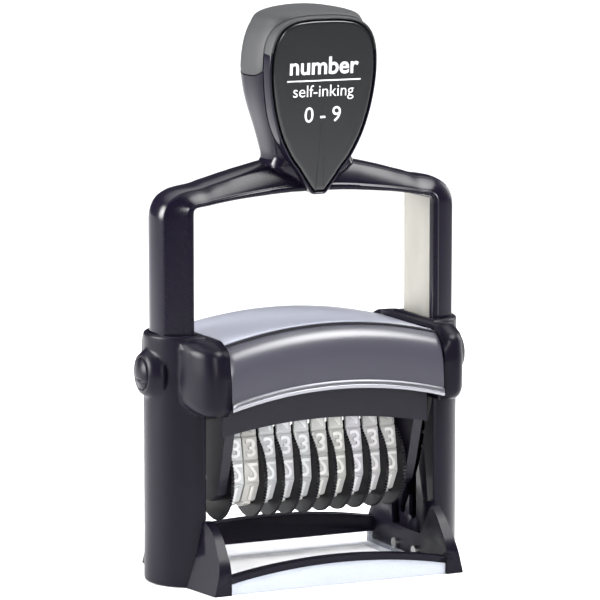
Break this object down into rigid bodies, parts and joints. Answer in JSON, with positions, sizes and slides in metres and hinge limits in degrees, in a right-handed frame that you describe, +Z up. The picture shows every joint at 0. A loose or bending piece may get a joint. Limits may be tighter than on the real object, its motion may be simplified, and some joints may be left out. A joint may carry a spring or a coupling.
{
  "type": "self-inking numbering stamp",
  "caption": "Upright self-inking hand stamp with a sprung bow and knob, rotating digit bands with knurled setting wheels, a flip-over type unit, a slide-out ink cartridge and a clear base.",
  "frame": {"origin": "bottom centre of the base, on the surface the stamp stands on", "axes": "+Z up through the knob, +X to the right along the row of bands, -Y towards the front where the digits are read"},
  "size_m": [0.095, 0.0484, 0.1515],
  "materials": {
    "black_gloss": "glossy moulded black with a violet cast",
    "cap_soft": "matte soft-touch dark grey",
    "silver_top": "glossy silver-grey lacquer",
    "smoke_window": "glossy smoky grey",
    "chrome_trim": "bright trim",
    "tray_plastic": "fine matte black",
    "ink_felt": "inked felt",
    "clear_base": "clear moulded plastic",
    "bright_steel": "turned steel",
    "spring_wire": "drawn wire",
    "frame_grey": "satin dark grey",
    "core_steel": "rolled bright steel",
    "clear_lens": "smoky clear plastic",
    "card_grey": "printed card",
    "band_rubber": "pale moulded rubber",
    "wheel_black": "knurled black plastic"
  },
  "bodies": {
    "housing": {"housing_left": "black_gloss", "housing_right": "black_gloss", "top_cover": "silver_top", "front_window": "smoke_window", "front_bead": "chrome_trim", "bridge_frame": "tray_plastic", "base_frame": "black_gloss", "base_window": "clear_base", "housing_screws": "bright_steel", "spring_post_left": "bright_steel", "spring_post_right": "bright_steel", "spring_left": "spring_wire", "spring_right": "spring_wire"},
    "pad_cartridge": {"pad_tray": "tray_plastic", "ink_pad": "ink_felt"},
    "bow": {"bow_core": "core_steel", "bow_cover": "black_gloss", "handle_body": "black_gloss", "handle_cap": "cap_soft", "lens": "clear_lens", "index_card": "card_grey", "handle_screw": "bright_steel"},
    "type_unit": {"type_frame": "frame_grey", "type_bridge": "frame_grey", "wheel_axle": "bright_steel", "pivot_pins": "bright_steel", "cam_pins": "bright_steel", "band_01": "band_rubber", "band_02": "band_rubber", "band_03": "band_rubber", "band_04": "band_rubber", "band_05": "band_rubber", "band_06": "band_rubber", "band_07": "band_rubber", "band_08": "band_rubber", "band_09": "band_rubber", "band_10": "band_rubber"},
    "button_l": {"button_left": "black_gloss"},
    "button_r": {"button_right": "black_gloss"},
    "wheel_01_body": {"wheel_01": "wheel_black"},
    "wheel_02_body": {"wheel_02": "wheel_black"},
    "wheel_03_body": {"wheel_03": "wheel_black"},
    "wheel_04_body": {"wheel_04": "wheel_black"},
    "wheel_05_body": {"wheel_05": "wheel_black"},
    "wheel_06_body": {"wheel_06": "wheel_black"},
    "wheel_07_body": {"wheel_07": "wheel_black"},
    "wheel_08_body": {"wheel_08": "wheel_black"},
    "wheel_09_body": {"wheel_09": "wheel_black"},
    "wheel_10_body": {"wheel_10": "wheel_black"}
  },
  "joints": [
    {"name": "bow_press", "type": "slide", "parent": "housing", "child": "bow", "axis": [0, 0, -1], "range_m": [0, 0.0325], "stiffness_N_per_m": 300, "springref_m": -0.02, "deforming": ["spring_left", "spring_right"]},
    {"name": "type_flip", "type": "hinge", "parent": "bow", "child": "type_unit", "pos_m": [0, 0, 0.0451], "axis": [1, 0, 0], "range_deg": [0, 180]},
    {"name": "cartridge_slide", "type": "slide", "parent": "housing", "child": "pad_cartridge", "axis": [0, 1, 0], "range_m": [0, 0.024]},
    {"name": "button_left_press", "type": "slide", "parent": "housing", "child": "button_l", "axis": [1, 0, 0], "range_m": [0, 0.0015], "stiffness_N_per_m": 800, "springref_m": -0.0015},
    {"name": "button_right_press", "type": "slide", "parent": "housing", "child": "button_r", "axis": [-1, 0, 0], "range_m": [0, 0.0015], "stiffness_N_per_m": 800, "springref_m": -0.0015},
    {"name": "wheel_01_turn", "type": "hinge", "parent": "type_unit", "child": "wheel_01_body", "pos_m": [-0.0229, 0, 0.0273], "axis": [1, 0, 0], "continuous": true},
    {"name": "wheel_02_turn", "type": "hinge", "parent": "type_unit", "child": "wheel_02_body", "pos_m": [-0.0184, 0, 0.0273], "axis": [1, 0, 0], "continuous": true},
    {"name": "wheel_03_turn", "type": "hinge", "parent": "type_unit", "child": "wheel_03_body", "pos_m": [-0.0133, 0, 0.0273], "axis": [1, 0, 0], "continuous": true},
    {"name": "wheel_04_turn", "type": "hinge", "parent": "type_unit", "child": "wheel_04_body", "pos_m": [-0.0082, 0, 0.0273], "axis": [1, 0, 0], "continuous": true},
    {"name": "wheel_05_turn", "type": "hinge", "parent": "type_unit", "child": "wheel_05_body", "pos_m": [-0.0031, 0, 0.0273], "axis": [1, 0, 0], "continuous": true},
    {"name": "wheel_06_turn", "type": "hinge", "parent": "type_unit", "child": "wheel_06_body", "pos_m": [0.002, 0, 0.0273], "axis": [1, 0, 0], "continuous": true},
    {"name": "wheel_07_turn", "type": "hinge", "parent": "type_unit", "child": "wheel_07_body", "pos_m": [0.0071, 0, 0.0273], "axis": [1, 0, 0], "continuous": true},
    {"name": "wheel_08_turn", "type": "hinge", "parent": "type_unit", "child": "wheel_08_body", "pos_m": [0.0122, 0, 0.0273], "axis": [1, 0, 0], "continuous": true},
    {"name": "wheel_09_turn", "type": "hinge", "parent": "type_unit", "child": "wheel_09_body", "pos_m": [0.0173, 0, 0.0273], "axis": [1, 0, 0], "continuous": true},
    {"name": "wheel_10_turn", "type": "hinge", "parent": "type_unit", "child": "wheel_10_body", "pos_m": [0.0224, 0, 0.0273], "axis": [1, 0, 0], "continuous": true}
  ],
  "couplings": [
    {"joint": "type_flip", "follows": "bow_press", "rad_per_m": 96.66}
  ]
}
